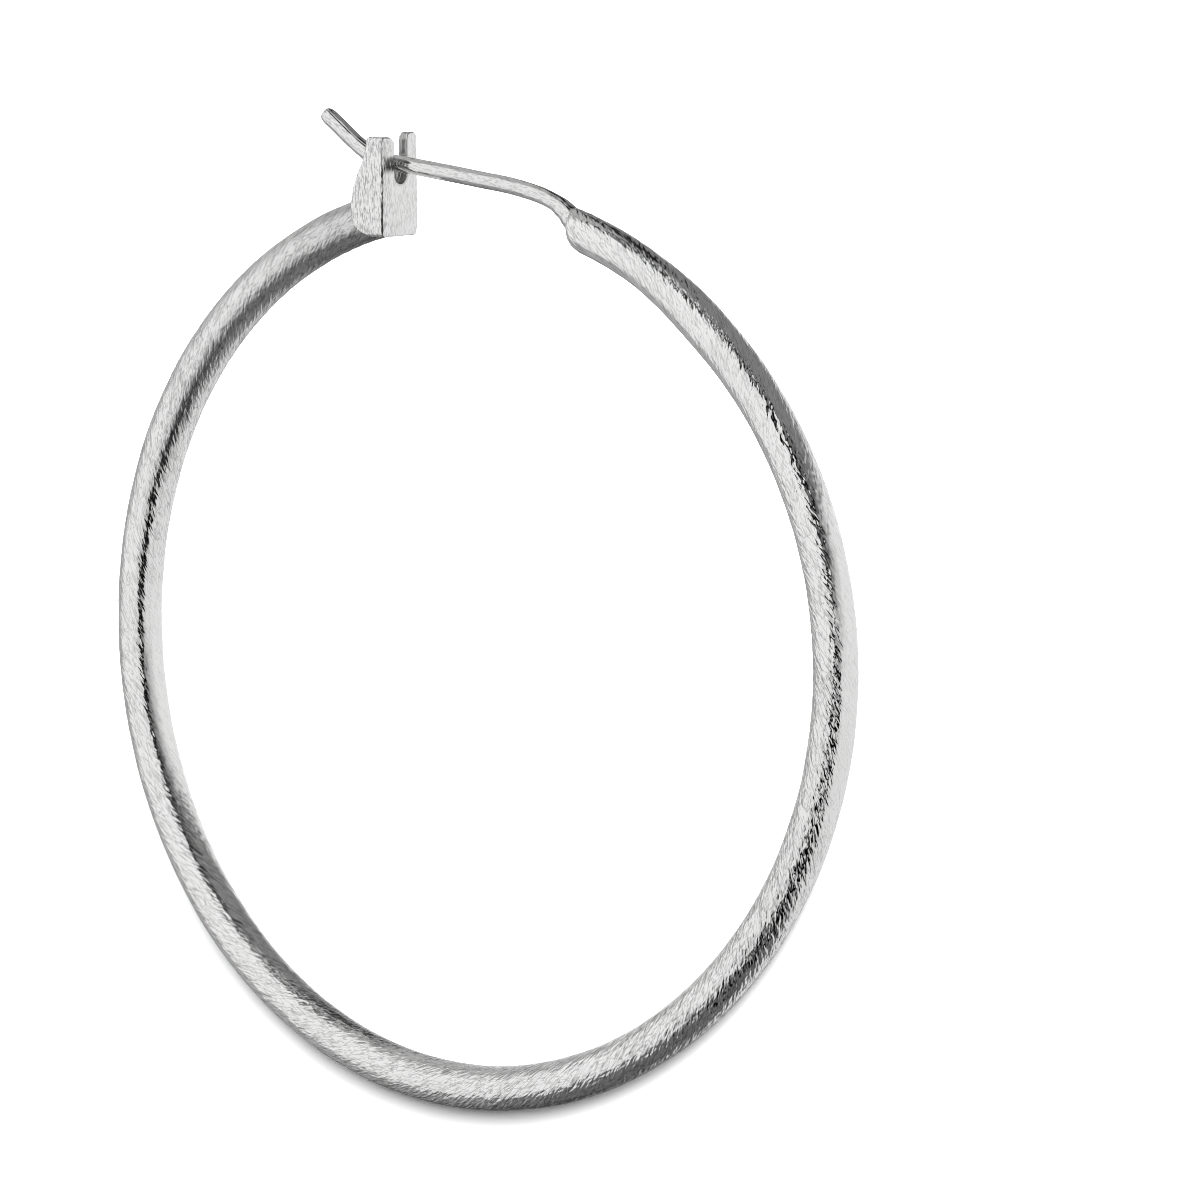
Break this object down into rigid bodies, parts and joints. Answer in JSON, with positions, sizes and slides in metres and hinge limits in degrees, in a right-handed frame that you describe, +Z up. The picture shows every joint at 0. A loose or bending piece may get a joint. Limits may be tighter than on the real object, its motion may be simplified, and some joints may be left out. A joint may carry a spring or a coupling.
{
  "type": "hoop earring",
  "caption": "Round-wire hoop earring that lies on its side, with a soldered ear wire bowed over its gap and sprung into a slotted catch.",
  "frame": {"origin": "bottom centre of the bounding box: on the surface it lies on, under the middle of its footprint", "axes": "+Z up, along the hoop's own axis; +Y from the hoop's middle towards its opening; +X from the catch towards the end that carries the ear wire"},
  "size_m": [0.045, 0.0482, 0.0028],
  "materials": {
    "silver": "satin, coarsely brushed silver; the ear wire is polished"
  },
  "bodies": {
    "root": {"hoop_earring": "silver"}
  },
  "joints": []
}
